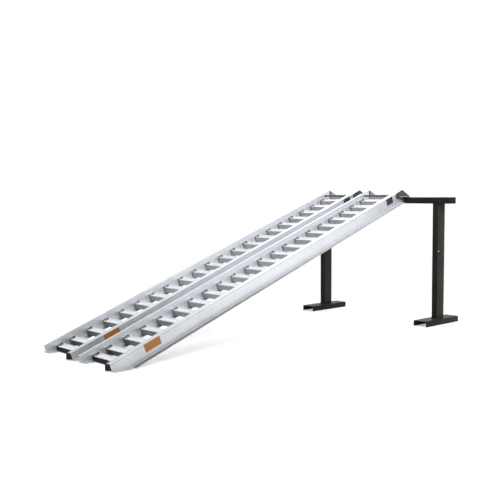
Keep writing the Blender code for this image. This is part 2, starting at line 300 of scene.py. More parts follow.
def make_ground_dirt_and_shade():
    tree = bpy.data.node_groups.new("ground dirt", "ShaderNodeTree")
    add_sockets(tree, [("Vector", "v", None), ("Height", "f", 0.3), ("Amount", "f", 0.5)], [("Dirt", "f")])
    start, end = tree.nodes.new("NodeGroupInput"), tree.nodes.new("NodeGroupOutput")
    split = place(tree, "ShaderNodeSeparateXYZ")
    wire(tree, start, split)
    share = place(tree, "ShaderNodeMath", operation="DIVIDE")
    wire(tree, split, share, "Z")
    tree.links.new(start.outputs["Height"], share.inputs[1])
    noise = place(tree, "ShaderNodeTexNoise", Scale=14.0, Detail=5.0)
    wire(tree, start, noise)
    mixed = place(tree, "ShaderNodeMath", operation="MULTIPLY_ADD")
    mixed.inputs[1].default_value = 0.5
    wire(tree, noise, mixed, "Fac")
    wire(tree, share, mixed, 0, 2)
    fade = curve_range(tree, mixed, 0.15, 1.25, 1.0, 0.0)
    out = place(tree, "ShaderNodeMath", operation="MULTIPLY")
    wire(tree, fade, out)
    tree.links.new(start.outputs["Amount"], out.inputs[1])
    wire(tree, out, end)
    return tree


GROUND_DIRT_AND_SHADE = make_ground_dirt_and_shade()

# %% [markdown]
# One function mixes a finish: the clean colour, a darker tone in the clouds and
# broad lines, and dirt near the ground, which on some finishes is painted shade.
# The scratches and lines set the roughness and a small bump. The Principled shader
# stays in the material itself.

# %% Materials


def make_finish(name, clean, worn, dirt, metallic, rough, scuff=0.4, lines=0.4,
                dirt_height=0.3, dirt_amount=0.3, bump=0.15, fineness=260.0, specular=0.5):
    """A material made from the three shared groups."""
    material = bpy.data.materials.new(name)
    material.use_nodes = True
    tree = material.node_tree
    shader = tree.nodes["Principled BSDF"]
    shader.inputs["Metallic"].default_value = metallic
    shader.inputs["Specular IOR Level"].default_value = specular
    coord = place(tree, "ShaderNodeTexCoord")
    turn = place(tree, "ShaderNodeMapping")
    turn.inputs["Rotation"].default_value = (0, SLOPE, 0)
    wire(tree, coord, turn, "Object")
    groups = {}
    for key, group, source, values in (
        ("lines", DIE_LINES, turn, {"Fineness": fineness}),
        ("scuffs", SCUFFS, turn, {"Amount": scuff}),
        ("dirt", GROUND_DIRT_AND_SHADE, coord, {"Height": dirt_height, "Amount": dirt_amount}),
    ):
        node = place(tree, "ShaderNodeGroup", node_tree=group)
        wire(tree, source, node, "Object" if source is coord else 0)
        for socket, value in values.items():
            node.inputs[socket].default_value = value
        groups[key] = node
    colour = None
    for mask, tone, strength in ((("scuffs", "Clouds"), worn, 1.0), (("lines", "Broad"), worn, lines),
                                 (("dirt", "Dirt"), dirt, 1.0)):
        mix = place(tree, "ShaderNodeMix", data_type="RGBA")
        scaled = place(tree, "ShaderNodeMath", operation="MULTIPLY")
        scaled.inputs[1].default_value = strength
        wire(tree, groups[mask[0]], scaled, mask[1])
        wire(tree, scaled, mix)
        if colour is None:
            mix.inputs[6].default_value = (*clean, 1)
        else:
            wire(tree, colour, mix, 2, 6)
        mix.inputs[7].default_value = (*tone, 1)
        colour = mix
    wire(tree, colour, shader, 2, "Base Color")
    spread = curve_range(tree, groups["lines"], 0.25, 0.75, rough - 0.07, rough + 0.09, out="Lines")
    marked = place(tree, "ShaderNodeMath", operation="MULTIPLY_ADD")
    marked.inputs[1].default_value = 0.22
    wire(tree, groups["scuffs"], marked, "Scratches")
    wire(tree, spread, marked, 0, 2)
    wire(tree, marked, shader, 0, "Roughness")
    height = place(tree, "ShaderNodeMath", operation="SUBTRACT")
    wire(tree, groups["lines"], height, "Lines")
    wire(tree, groups["scuffs"], height, "Scratches", 1)
    relief = place(tree, "ShaderNodeBump", Strength=bump, Distance=0.0006)
    wire(tree, height, relief, 0, "Height")
    wire(tree, relief, shader, 0, "Normal")
    return material


ALU_RAIL = make_finish("rail aluminium", (0.83, 0.85, 0.90), (0.72, 0.74, 0.78), (0.42, 0.44, 0.46),
                       0.70, 0.42, scuff=0.35, lines=0.25, dirt_height=0.55, dirt_amount=0.85)
# The ledge finish is painted shade: a darker grey on the ledge and in the grooves, near black towards the
# ground.
ALU_LEDGE_SHADE = make_finish("rail ledge painted shade", (0.50, 0.505, 0.52), (0.38, 0.385, 0.39), (0.10, 0.10, 0.10),
                        0.0, 0.60, scuff=0.5, lines=0.3, dirt_height=0.95, dirt_amount=0.9, specular=0.1)
ALU_TREAD = make_finish("tread aluminium", (0.80, 0.81, 0.83), (0.68, 0.69, 0.72), (0.60, 0.60, 0.59),
                        0.75, 0.42, scuff=0.25, lines=0.15, dirt_amount=0.2)
# The rung side finish is painted shade: darker than the tread, near black towards the toe.
ALU_SIDE_SHADE = make_finish("rung side painted shade", (0.42, 0.425, 0.435), (0.30, 0.305, 0.31),
                       (0.020, 0.020, 0.021), 0.7, 0.50,
                       scuff=0.5, lines=0.3, dirt_height=0.34, dirt_amount=0.95)
# The rung end finish is painted shade where the rungs meet the webs, near black towards the toe.
ALU_LUG_SHADE = make_finish("rung end painted shade", (0.27, 0.275, 0.29), (0.19, 0.195, 0.20), (0.05, 0.05, 0.05),
                      0.75, 0.45, scuff=0.5, dirt_height=0.3, dirt_amount=0.8)
ALU_PLATE = make_finish("foot plate aluminium", (0.72, 0.73, 0.74), (0.48, 0.49, 0.50), (0.33, 0.32, 0.31),
                        0.85, 0.48, scuff=0.6, dirt_height=0.05, dirt_amount=0.5)
ALU_LIP = make_finish("lip aluminium", (0.40, 0.405, 0.415), (0.26, 0.265, 0.27), (0.2, 0.2, 0.2),
                      0.85, 0.46, scuff=0.5, lines=0.3)
# This darker lip finish is painted shade on the lip's near side, its near ribs and the pivot rods.
ALU_LIP_SHADE = make_finish("weathered lip aluminium", (0.10, 0.101, 0.105), (0.07, 0.071, 0.073),
                           (0.04, 0.04, 0.04), 0.3, 0.50, scuff=0.6, lines=0.2, specular=0.2)
# This lighter black is painted light on the posts' faces toward ±y, with some wear.
WORN_AND_LIT_BLACK = make_finish("worn black paint with painted light", (0.026, 0.0225, 0.019), (0.045, 0.037, 0.030),
                         (0.05, 0.047, 0.044), 0.0, 0.5, scuff=0.6, lines=0.2,
                         dirt_height=0.12, dirt_amount=0.30, bump=0.06,
                         fineness=90.0, specular=0.10)
RUST = make_finish("rusty seam", (0.085, 0.050, 0.030), (0.05, 0.032, 0.022), (0.05, 0.047, 0.044),
                   0.0, 0.7, scuff=0.5, specular=0.1)
# This near black is painted shade, used for the strip and block at the toe.
SHADE_BLACK = make_finish("black painted shade", (0.008, 0.008, 0.008), (0.014, 0.014, 0.014), (0.03, 0.03, 0.03),
                     0.0, 0.70, scuff=0.3, specular=0.1)
WELD = make_finish("weld bead", (0.86, 0.87, 0.89), (0.42, 0.43, 0.45), (0.2, 0.2, 0.2),
                   0.9, 0.36, scuff=0.5, lines=0.1, dirt_height=0.4, dirt_amount=0.5)
ZINC = make_finish("zinc plated steel", (0.62, 0.62, 0.60), (0.45, 0.45, 0.43), (0.3, 0.3, 0.28),
                   1.0, 0.34, scuff=0.4, lines=0.1)
BLACK = make_finish("satin black paint", (0.010, 0.0092, 0.0088), (0.022, 0.019, 0.017), (0.05, 0.047, 0.044),
                    0.0, 0.46, scuff=0.45, lines=0.1, dirt_height=0.12, dirt_amount=0.30, bump=0.06,
                    fineness=90.0, specular=0.08)
PLASTIC = make_finish("black plastic", (0.010, 0.010, 0.011), (0.018, 0.018, 0.018), (0.05, 0.05, 0.05),
                      0.0, 0.55, scuff=0.3, lines=0.1, bump=0.05, specular=0.10)
ORANGE = make_finish("orange film", (0.36, 0.140, 0.020), (0.29, 0.11, 0.015), (0.18, 0.09, 0.03),
                     0.0, 0.35, scuff=0.5, lines=0.2, dirt_height=0.3, dirt_amount=0.25, bump=0.04)
NAVY = make_finish("dark film", (0.030, 0.036, 0.060), (0.05, 0.055, 0.08), (0.1, 0.1, 0.1),
                   0.0, 0.35, scuff=0.4, lines=0.1, bump=0.04)
print("finishes", len(bpy.data.materials))

# %% [markdown]
# ## Rails
# A rail is one extrusion: an outside web, a flange turned in along the top, and a
# wider foot with a ledge outside. The section is drawn once and skinned along the
# slope. Cutting planes then give the square toe, the flat that lies on the ground
# and the upright top end. Two fine grooves below the flange and above the ledge
# break the plain web, as a die leaves them. The ledge's upper faces and the groove
# floors take a darker finish, which is painted shade.

# %% Rails


def rail_section(flange_inside):
    """Section as (y, n), y inward from the web's outer face."""
    h, w, f, g = RAIL_HEIGHT, RAIL_WEB, FLANGE, 0.0010
    foot = [(-LEDGE_W, -h, 0.0015), (BOTTOM_INNER_W, -h, 0.0015), (BOTTOM_INNER_W, -h + f, 0.002),
            (w, -h + f, 0.003)]
    if flange_inside:
        head = [(w, -f, 0.003), (TOP_FLANGE_W, -f, 0.0015), (TOP_FLANGE_W, 0, 0.0015), (0, 0, 0.002),
                (0, -0.0086, 0), (g, -0.0094, 0), (g, -0.0112, 0), (0, -0.0120, 0)]
    else:
        head = [(w, 0, 0.002), (-FAR_FLANGE_W, 0, 0.0015), (-FAR_FLANGE_W, -f, 0.0015), (0, -f, 0)]
    low_groove = [(0, -h + 0.0165, 0), (g, -h + 0.0157, 0), (g, -h + 0.0145, 0), (0, -h + 0.0137, 0)]
    corners = foot + head + low_groove + [(0, -h + f, 0.003), (-LEDGE_W, -h + f, 0.0018)]
    return rounded([c[:2] for c in corners], [c[2] for c in corners], 3)


def make_rail(name, web_y, inward):
    section = rail_section(inward > 0)
    stations = [(-0.02, section), (RAIL_LENGTH + 0.08, section)]
    if inward < 0:
        short = [(max(y, 0.0002) if n > -RAIL_HEIGHT / 2 and y < 0 else y, n) for y, n in section]
        stations = [(-0.02, section), (FAR_FLANGE_END, section), (FAR_FLANGE_END + 0.0004, short),
                    (RAIL_LENGTH + 0.08, short)]
    rings = [[on_slope(t, web_y + inward * y, n) for y, n in ring] for t, ring in stations]
    bm = skin(rings)
    cuts = (
        (on_slope(0, 0, 0), Vector((-CS, 0, -SN))),
        (Vector((0, 0, FOOT_LEVEL)), Vector((0, 0, -1))),
        (Vector((RAIL_END_X, 0, 0)), Vector((1, 0, 0))),
    )
    for point, normal in cuts:
        parts = bm.verts[:] + bm.edges[:] + bm.faces[:]
        bmesh.ops.bisect_plane(bm, geom=parts, dist=1e-7, plane_co=point, plane_no=normal, clear_outer=True)
        bmesh.ops.contextual_create(bm, geom=[e for e in bm.edges if e.is_boundary])
    bmesh.ops.recalc_face_normals(bm, faces=bm.faces)
    for edge in bm.edges:
        edge.smooth = edge.calc_face_angle(0) < math.radians(33)
    for face in bm.faces:
        face.smooth = True
    rail = as_object(name, bm, ALU_RAIL)
    # The ledge's upper faces and the groove floors get the darker finish, which is painted shade.
    rail.data.materials.append(ALU_LEDGE_SHADE)
    up_slope = Vector((-SN, 0, CS))
    for face in rail.data.polygons:
        depth = (face.center.y - web_y) * inward
        level = (face.center - on_slope(0, 0, 0)).dot(up_slope)
        ledge_shade = depth < -0.0015 and face.normal.dot(up_slope) > -0.2 and level < -0.08
        groove_shade = 0.0007 < depth < 0.0013 and face.normal.y * inward < -0.5
        face.material_index = 1 if ledge_shade or groove_shade else 0
    return rail


for prefix, web in WEB_Y.items():
    body = prefix + "_ramp"
    for side, y, inward in (("near", web, 1), ("far", web + RAMP_WIDTH, -1)):
        rail = make_rail(f"{prefix}_{side}_rail_extrusion", y, inward)
        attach(rail, body)
        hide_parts(f"{prefix}_ramp_rail_{side}")
        plate = from_cad(f"{prefix}_ramp_foot_plate_{side}", f"{prefix}_{side}_foot_plate", ALU_PLATE, 0.0008)
        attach(plate, body)
        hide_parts(f"{prefix}_ramp_foot_plate_{side}")
print("rail section has", len(rail_section(True)), "points")

# %% [markdown]
# ## Rungs
# Every rung is the same open-bottomed extrusion with two grip ridges, notched into
# teeth, and a taller lug at each end. That is a rule, so Geometry Nodes fit well:
# the tree takes one rung drawn flat at the origin, stands a row of teeth on each
# ridge, and repeats the whole along the slope. A stored face attribute keeps the
# bright tread apart from the darker sides and lugs, whose tones are painted shade,
# so the finishes can be set at the end.

# %% The single rung


def single_rung(name, height, y0, y1):
    """One rung lying flat: x along the ramp, z normal to it."""
    d, w, top, lip = RUNG_DEPTH, 0.003, RUNG_TOP, 0.010
    base, flat = top - height, top - RIDGE_H
    under = [(d, base, 0.001), (d - lip, base, 0.001), (d - lip, base + w, 0), (d - w, base + w, 0.001),
             (d - w, flat - w, 0.001), (w, flat - w, 0.001), (w, base + w, 0.001), (lip, base + w, 0),
             (lip, base, 0.001), (0, base, 0.001)]
    tread = [(0, top, 0.001), (0.005, top, 0.0008), (0.007, flat, 0.0008), (d - 0.007, flat, 0.0008),
             (d - 0.005, top, 0.0008), (d, top, 0.001)]
    low = rounded([c[:2] for c in tread + under], [c[2] for c in tread + under], 2)
    lifted = []
    skin_low = flat - w + 0.001
    for x, z in low:
        lift = LUG_H * max(0.0, min(1.0, (z - skin_low) / w))
        lifted.append((x, z + lift if z > skin_low else z))
    stations = [(y0, lifted), (y0 + LUG_W - 0.004, lifted), (y0 + LUG_W, low), (y1 - LUG_W, low),
                (y1 - LUG_W + 0.004, lifted), (y1, lifted)]
    bm = skin([[Vector((x, y, z)) for x, z in ring] for y, ring in stations])
    # Finish 1 is the tread's own bright tone; the sides (0) and lugs (2) get darker finishes that are painted
    # shade.
    finish = bm.faces.layers.int.new("finish")
    for face in bm.faces:
        centre, normal = face.calc_center_median(), face.normal
        in_lug = centre.y < y0 + LUG_W or centre.y > y1 - LUG_W
        top_side = centre.z > flat - 0.001
        face[finish] = 2 if in_lug else (1 if top_side and normal.z > 0.3 else 0)
    return as_object(name, bm)


# %% [markdown]
# The tree's inputs are the counts, spacings and sizes a maker would name. The
# teeth are small four-sided pyramids with flat tops, a few faces each, because
# there are some thousands of them.

# %% Geometry Nodes: toothed rungs along the slope


def geometry_tree(name, inputs):
    """An empty geometry tree with a mesh in and out and the named inputs."""
    tree = bpy.data.node_groups.new(name, "GeometryNodeTree")
    tree.interface.new_socket("Geometry", in_out="INPUT", socket_type="NodeSocketGeometry")
    for label, kind in inputs:
        tree.interface.new_socket(label, in_out="INPUT", socket_type="NodeSocket" + kind)
    tree.interface.new_socket("Geometry", in_out="OUTPUT", socket_type="NodeSocketGeometry")
    return tree, tree.nodes.new("NodeGroupInput"), tree.nodes.new("NodeGroupOutput")


def run_tree(obj, tree, **values):
    """Runs a tree on an object with its inputs set, and keeps the plain mesh."""
    modifier = obj.modifiers.new(tree.name, "NODES")
    modifier.node_group = tree
    for item in tree.interface.items_tree:
        if item.item_type == "SOCKET" and item.in_out == "INPUT":
            key = item.name.lower().replace(" ", "_")
            if key in values:
                modifier[item.identifier] = values[key]
    return settle(obj)


def make_rung_tree():
    tree, start, end = geometry_tree("toothed rungs", [
        ("Rung Count", "Int"), ("Rung Step", "Vector"), ("First Place", "Vector"), ("Turn", "Vector"),
        ("Tooth Count", "Int"), ("Tooth Step", "Vector"), ("Front Row", "Vector"), ("Back Row", "Vector"),
        ("Tooth Size", "Vector"), ("Side Finish", "Material"), ("Tread Finish", "Material"),
        ("Lug Finish", "Material")])
    link = tree.links.new
    cone = place(tree, "GeometryNodeMeshCone", Vertices=4)
    cone.inputs["Radius Top"].default_value = 0.30
    cone.inputs["Radius Bottom"].default_value = 0.7071
    cone.inputs["Depth"].default_value = 1.0
    square = place(tree, "GeometryNodeTransform")
    square.inputs["Rotation"].default_value = (0, 0, math.radians(45))
    link(cone.outputs["Mesh"], square.inputs["Geometry"])
    mark = place(tree, "GeometryNodeStoreNamedAttribute", data_type="INT", domain="FACE")
    mark.inputs["Name"].default_value = "finish"
    next(s for s in mark.inputs if s.name == "Value" and s.type == "INT").default_value = 1
    link(square.outputs["Geometry"], mark.inputs["Geometry"])
    join = place(tree, "GeometryNodeJoinGeometry")
    link(start.outputs["Geometry"], join.inputs[0])
    for row in ("Front Row", "Back Row"):
        line = place(tree, "GeometryNodeMeshLine", mode="OFFSET")
        link(start.outputs["Tooth Count"], line.inputs["Count"])
        link(start.outputs[row], line.inputs["Start Location"])
        link(start.outputs["Tooth Step"], line.inputs["Offset"])
        teeth = place(tree, "GeometryNodeInstanceOnPoints")
        link(line.outputs["Mesh"], teeth.inputs["Points"])
        link(mark.outputs["Geometry"], teeth.inputs["Instance"])
        link(start.outputs["Tooth Size"], teeth.inputs["Scale"])
        link(teeth.outputs["Instances"], join.inputs[0])
    solid = place(tree, "GeometryNodeRealizeInstances")
    link(join.outputs["Geometry"], solid.inputs["Geometry"])
    ladder = place(tree, "GeometryNodeMeshLine", mode="OFFSET")
    link(start.outputs["Rung Count"], ladder.inputs["Count"])
    link(start.outputs["First Place"], ladder.inputs["Start Location"])
    link(start.outputs["Rung Step"], ladder.inputs["Offset"])
    copies = place(tree, "GeometryNodeInstanceOnPoints")
    link(ladder.outputs["Mesh"], copies.inputs["Points"])
    link(solid.outputs["Geometry"], copies.inputs["Instance"])
    link(start.outputs["Turn"], copies.inputs["Rotation"])
    real = place(tree, "GeometryNodeRealizeInstances")
    link(copies.outputs["Instances"], real.inputs["Geometry"])
    attribute = place(tree, "GeometryNodeInputNamedAttribute", data_type="INT")
    attribute.inputs["Name"].default_value = "finish"
    value_out = next(s for s in attribute.outputs if s.type == "INT")
    flow = real.outputs["Geometry"]
    for number, label in ((None, "Side Finish"), (1, "Tread Finish"), (2, "Lug Finish")):
        paint = place(tree, "GeometryNodeSetMaterial")
        link(flow, paint.inputs["Geometry"])
        link(start.outputs[label], paint.inputs["Material"])
        if number is not None:
            same = place(tree, "FunctionNodeCompare", data_type="INT", operation="EQUAL")
            whole = [s for s in same.inputs if s.type == "INT"]
            link(value_out, whole[0])
            whole[1].default_value = number
            link(same.outputs["Result"], paint.inputs["Selection"])
        flow = paint.outputs["Geometry"]
    link(flow, end.inputs["Geometry"])
    return tree


RUNG_TREE = make_rung_tree()
TEETH = 44
TOOTH = (0.0044, 0.0042, 0.0034)
for prefix, web in WEB_Y.items():
    inside = RAIL_WEB + 0.0003
    y0, y1 = web + inside, web + RAMP_WIDTH - inside
    first, last = y0 + LUG_W + 0.004, y1 - LUG_W - 0.004
    step = (last - first) / (TEETH - 1)
    tooth_z = RUNG_TOP + TOOTH[2] / 2 - 0.0004
    for name, height, count, at in (("toe_rung", TOE_RUNG_HEIGHT, 1, TOE_RUNG_AT),
                                    ("rungs", RUNG_HEIGHT, 20, RUNG_TWO_AT)):
        rung = single_rung(f"{prefix}_{name}", height, y0, y1)
        place_at = on_slope(at, 0, 0)
        run_tree(rung, RUNG_TREE, rung_count=count, rung_step=(RUNG_PITCH * CS, 0, RUNG_PITCH * SN),
                 first_place=tuple(place_at), turn=(0, -SLOPE, 0), tooth_count=TEETH, tooth_step=(0, step, 0),
                 front_row=(0.0026, first, tooth_z), back_row=(RUNG_DEPTH - 0.0026, first, tooth_z),
                 tooth_size=TOOTH, side_finish=ALU_SIDE_SHADE, tread_finish=ALU_TREAD, lug_finish=ALU_LUG_SHADE)
        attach(rung, prefix + "_ramp")
        numbers = [1] if count == 1 else range(2, 22)
        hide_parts(*[f"{prefix}_ramp_rung_{k:02d}" for k in numbers])
        print(rung.name, len(rung.data.polygons), "faces")

# %% [markdown]
# A black strip hangs in front of the toe rung and nearly reaches the floor; it is
# painted shade, a dark sheet for the shadow under the toe rung. It is
# drawn as one outline, with a step at each end that clears the foot plate. A black
# block fills the near rail's section at the toe; it is painted shade for the
# shadowed inside of the rail's open end.

# %% Toe strips and blocks of painted shade


def toe_shade_strip(name, web_y):
    t0, thick, step_in = TOE_RUNG_AT - 0.0034, 0.003, 0.036
    y0, y1 = web_y + RAIL_WEB + 0.0006, web_y + RAMP_WIDTH - RAIL_WEB - 0.0006
    def level(z):
        return (z - TOE.z - t0 * SN) / CS
    high, over_plate, over_floor = RUNG_TOP - 0.003, level(0.0098), level(0.0014)
    outline = [(y0, high), (y1, high), (y1, over_plate), (y1 - step_in, over_plate),
               (y1 - step_in, over_floor), (y0 + step_in, over_floor),
               (y0 + step_in, over_plate), (y0, over_plate)]
    bm = skin([[on_slope(t, y, n) for y, n in outline] for t in (t0, t0 + thick)])
    return as_object(name, bm, SHADE_BLACK)


def toe_shade_block(name, web_y):
    """Dark filler under the near rail's top flange, standing a little ahead of its end: painted shade in the
    rail's open end.
    """
    y0, y1 = web_y + RAIL_WEB + 0.0006, web_y + TOP_FLANGE_W - 0.001
    x0, x1, low = TOE.x - 0.014, TOE.x + 0.012, FOOT_LEVEL + 0.0012
    def under_flange(x):
        return TOE.z + (x - TOE.x) * SN / CS - (FLANGE + 0.0006) / CS
    outline = [(x0, low), (x1 + 0.012, low), (x1, under_flange(x1)), (x0 + 0.020, under_flange(x0 + 0.020)),
               (x0, under_flange(x0 + 0.020) - 0.004)]
    bm = skin([[Vector((x, y, z)) for x, z in outline] for y in (y0, y1)])
    return soften(as_object(name, bm, SHADE_BLACK), 0.0015)


for prefix, web in WEB_Y.items():
    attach(toe_shade_strip(prefix + "_toe_strip", web), prefix + "_ramp")
    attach(toe_shade_block(prefix + "_toe_block", web), prefix + "_ramp")

# %% [markdown]
# ## Welds
# Each rung end is welded round to the web, and the stand's tubes are welded where
# they meet. A bead is a row of small overlapping ripples, so one tree lays a
# flattened ball at every step along any path of edges it is given.

# %% Geometry Nodes: weld beads


def make_weld_tree():
    tree, start, end = geometry_tree("weld bead", [
        ("Ripple Step", "Float"), ("Bead Size", "Vector"), ("Finish", "Material")])
    link = tree.links.new
    path = place(tree, "GeometryNodeMeshToCurve")
    link(start.outputs["Geometry"], path.inputs["Mesh"])
    points = place(tree, "GeometryNodeResampleCurve", mode="LENGTH")
    link(path.outputs["Curve"], points.inputs["Curve"])
    link(start.outputs["Ripple Step"], points.inputs["Length"])
    tangent = place(tree, "GeometryNodeInputTangent")
    along = place(tree, "FunctionNodeAlignRotationToVector", axis="X")
    link(tangent.outputs["Tangent"], along.inputs["Vector"])
    ripple = place(tree, "GeometryNodeMeshUVSphere", Segments=8, Rings=5)
    ripple.inputs["Radius"].default_value = 1.0
    drops = place(tree, "GeometryNodeInstanceOnPoints")
    link(points.outputs["Curve"], drops.inputs["Points"])
    link(ripple.outputs["Mesh"], drops.inputs["Instance"])
    link(along.outputs["Rotation"], drops.inputs["Rotation"])
    link(start.outputs["Bead Size"], drops.inputs["Scale"])
    real = place(tree, "GeometryNodeRealizeInstances")
    link(drops.outputs["Instances"], real.inputs["Geometry"])
    smooth = place(tree, "GeometryNodeSetShadeSmooth")
    link(real.outputs["Geometry"], smooth.inputs["Geometry"])
    paint = place(tree, "GeometryNodeSetMaterial")
    link(smooth.outputs["Geometry"], paint.inputs["Geometry"])
    link(start.outputs["Finish"], paint.inputs["Material"])
    link(paint.outputs["Geometry"], end.inputs["Geometry"])
    return tree


WELD_TREE = make_weld_tree()


def weld(name, paths, body, size=0.0022, step=0.0034, finish=None):
    """Weld beads along each path of points."""
    mesh = bpy.data.meshes.new(name)
    points, edges = [], []
    for path in paths:
        base = len(points)
        points += [tuple(p) for p in path]
        edges += [(base + k, base + k + 1) for k in range(len(path) - 1)]
    mesh.from_pydata(points, edges, [])
    bead = as_object(name, mesh)
    run_tree(bead, WELD_TREE, ripple_step=step, bead_size=(size * 1.1, size, size), finish=finish or WELD)
    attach(bead, body)
    print(name, len(bead.data.polygons), "faces")
    return bead


def rung_end_path(t0, height, y):
    top, d = RUNG_TOP + LUG_H, RUNG_DEPTH
    base = RUNG_TOP - height
    return [on_slope(t0, y, base), on_slope(t0, y, top), on_slope(t0 + d, y, top), on_slope(t0 + d, y, base)]


for prefix, web in WEB_Y.items():
    paths = []
    for k in range(21):
        t0, height = TOE_RUNG_AT, TOE_RUNG_HEIGHT
        if k > 0:
            t0, height = RUNG_TWO_AT + RUNG_PITCH * (k - 1), RUNG_HEIGHT
        for y in (web + RAIL_WEB, web + RAMP_WIDTH - RAIL_WEB):
            paths.append(rung_end_path(t0, height, y))
    weld(prefix + "_rung_welds", paths, prefix + "_ramp", size=0.0030, step=0.0044)
    plate_paths = []
    for side, edge in (("near", web), ("far", web + RAMP_WIDTH - RAIL_WEB)):
        low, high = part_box(f"{prefix}_ramp_foot_plate_{side}")
        for y in (edge, edge + RAIL_WEB):
            plate_paths.append([Vector((x, y, high.z + 0.0006)) for x in (low.x + 0.012, high.x - 0.022)])
    weld(prefix + "_foot_plate_welds", plate_paths, prefix + "_ramp")

# %% [markdown]
# ## Lips and pivot rods
# The lip is bent and welded plate, so its CAD shape with softened edges is already
# right. Grip ribs go across its sloping plate, and beads where cheek meets plate.
# The lip's near side, its near ribs and the pivot rods take a darker finish, which
# is painted shade.

# %% Lips, ribs and rods


def lip_line(share):
    """Point (x, z) on the sloping plate's top, from its upper end to its tip."""
    return LIP_HIGH[0] + (LIP_LOW[0] - LIP_HIGH[0]) * share, LIP_HIGH[1] + (LIP_LOW[1] - LIP_HIGH[1]) * share


beam_low, beam_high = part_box("stand_beam")
LIP_HIGH = (RAIL_END_X + 0.012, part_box("near_ramp_rail_near")[1].z - 0.006)
LIP_LOW = (beam_low.x + 0.087, beam_high.z + 0.0063)
RIB_SHARES, RIB_HALF, RIB_RISE = (0.22, 0.46, 0.70), 0.003, 0.0022
NEAR_RIB_W, FAR_RIB_W = 0.038, 0.0085
STOP_EDGE_X = RAIL_END_X + 0.0125

for prefix, web in WEB_Y.items():
    body = prefix + "_lip"
    lip = from_cad(f"{prefix}_ramp_lip_bracket", f"{prefix}_lip_plate", ALU_LIP, 0.0007)
    # Faces on the near side of each lip get the darker finish, which is painted shade.
    lip.data.materials.append(ALU_LIP_SHADE)
    for face in lip.data.polygons:
        face.material_index = 1 if face.center.y < web + 0.050 else 0
    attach(lip, body)
    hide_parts(f"{prefix}_ramp_lip_bracket")
    fall = math.atan2(LIP_HIGH[1] - LIP_LOW[1], LIP_LOW[0] - LIP_HIGH[0])
    for k, share in enumerate(RIB_SHARES):
        x, z = lip_line(share)
        half = RIB_HALF
        section = [(x - half * math.cos(fall), z + half * math.sin(fall) - 0.001),
                   (x - half * 0.5, z + half * 0.5 * math.tan(fall) + RIB_RISE),
                   (x + half * 0.5, z - half * 0.5 * math.tan(fall) + RIB_RISE),
                   (x + half * math.cos(fall), z - half * math.sin(fall) - 0.001)]
        for side, edge, inward in (("near", web, 1), ("far", web + RAMP_WIDTH, -1)):
            reach = (edge - inward * 0.003, edge + inward * (NEAR_RIB_W if inward > 0 else FAR_RIB_W))
            rib = skin([[Vector((a, y, b)) for a, b in section] for y in reach])
            # Near ribs take the painted shade finish, far ribs the plain lip finish.
            finish = ALU_LIP_SHADE if inward > 0 else ALU_LIP
            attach(as_object(f"{prefix}_{side}_lip_rib_{k + 1}", rib, finish), body)
    seams = []
    for y in (web, web + RAMP_WIDTH):
        top = [lip_line(s) for s in (0.03, 0.35, 0.65, 0.97)]
        seams.append([Vector((a, y, b + 0.0005)) for a, b in top])
        side = 1 if y == web else -1
        stop_z = beam_high.z - 0.030
        seams.append([Vector((STOP_EDGE_X, y + side * 0.001, z)) for z in (stop_z, beam_high.z + 0.004)])
    weld(prefix + "_lip_welds", seams, body, size=0.0024, step=0.0036, finish=ALU_LIP)
    low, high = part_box(f"{prefix}_ramp_lip_bracket")
    plate_z = beam_high.z + 0.0050
    plate_x = (RAIL_END_X - 0.020, LIP_LOW[0] - 0.004)
    edges = [[Vector((x, y, plate_z)) for x in plate_x] for y in (low.y, high.y)]
    weld(prefix + "_lip_plate_welds", edges, body, size=0.0024, step=0.0030, finish=WELD)
    # The rods take the darker lip finish, painted shade under the lips.
    rod = from_cad(f"{prefix}_ramp_pivot_rod", f"{prefix}_pivot_rod", ALU_LIP_SHADE, 0.0006)
    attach(rod, prefix + "_ramp")
    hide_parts(f"{prefix}_ramp_pivot_rod")

# %% [markdown]
# ## Stand
# Beam, posts and foot channels are stock sections with rolled corners. The tube
# ends are closed by plastic plugs, and each post carries two small bolts.

# %% Stand tubes and channels
for node in ("stand_beam", "stand_post_near", "stand_post_far",
             "stand_foot_channel_near", "stand_foot_channel_far"):
    piece = from_cad(node, node + "_tube" if "channel" not in node else node + "_steel", BLACK, 0.0006)
    if "post" in node:
        # The post faces toward ±y get the lighter black, which is painted light.
        piece.data.materials.append(WORN_AND_LIT_BLACK)
        for face in piece.data.polygons:
            face.material_index = 1 if abs(face.normal.y) > 0.9 else 0
    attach(piece, "stand")
    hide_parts(node)

# %% [markdown]
# A plug is a thin flange outside the tube with a rounded edge, and a short plain
# body inside. Only the flange shows, so it carries the detail.

# %% End plugs


def plug(name, y_face, outward):
    x0, x1, z0, z1 = beam_low.x, beam_high.x, beam_low.z, beam_high.z
    rings = []
    for inset, depth in ((0.0034, -0.012), (0.0034, 0.0002), (0.0006, 0.0004), (0.0004, 0.0016),
                         (0.0020, 0.0030), (0.0090, 0.0034), (0.0100, 0.0026)):
        ring = rounded([(x0 + inset, z0 + inset), (x1 - inset, z0 + inset), (x1 - inset, z1 - inset),
                        (x0 + inset, z1 - inset)], [max(0.0012, 0.005 - inset * 0.3)] * 4, 4)
        rings.append([Vector((a, y_face + outward * depth, b)) for a, b in ring])
    bm = skin(rings)
    for face in bm.faces:
        face.smooth = True
    for edge in bm.edges:
        edge.smooth = edge.calc_face_angle(0) < math.radians(30)
    obj = as_object(name, bm, PLASTIC)
    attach(obj, "stand")
    return obj


plug("near_beam_plug", beam_low.y, -1)
plug("far_beam_plug", beam_high.y, 1)

# %% [markdown]
# The stand's welds run round each post where it meets the beam and the channel.
# They are painted over, so they take the black finish.

# %% Stand welds and bolts


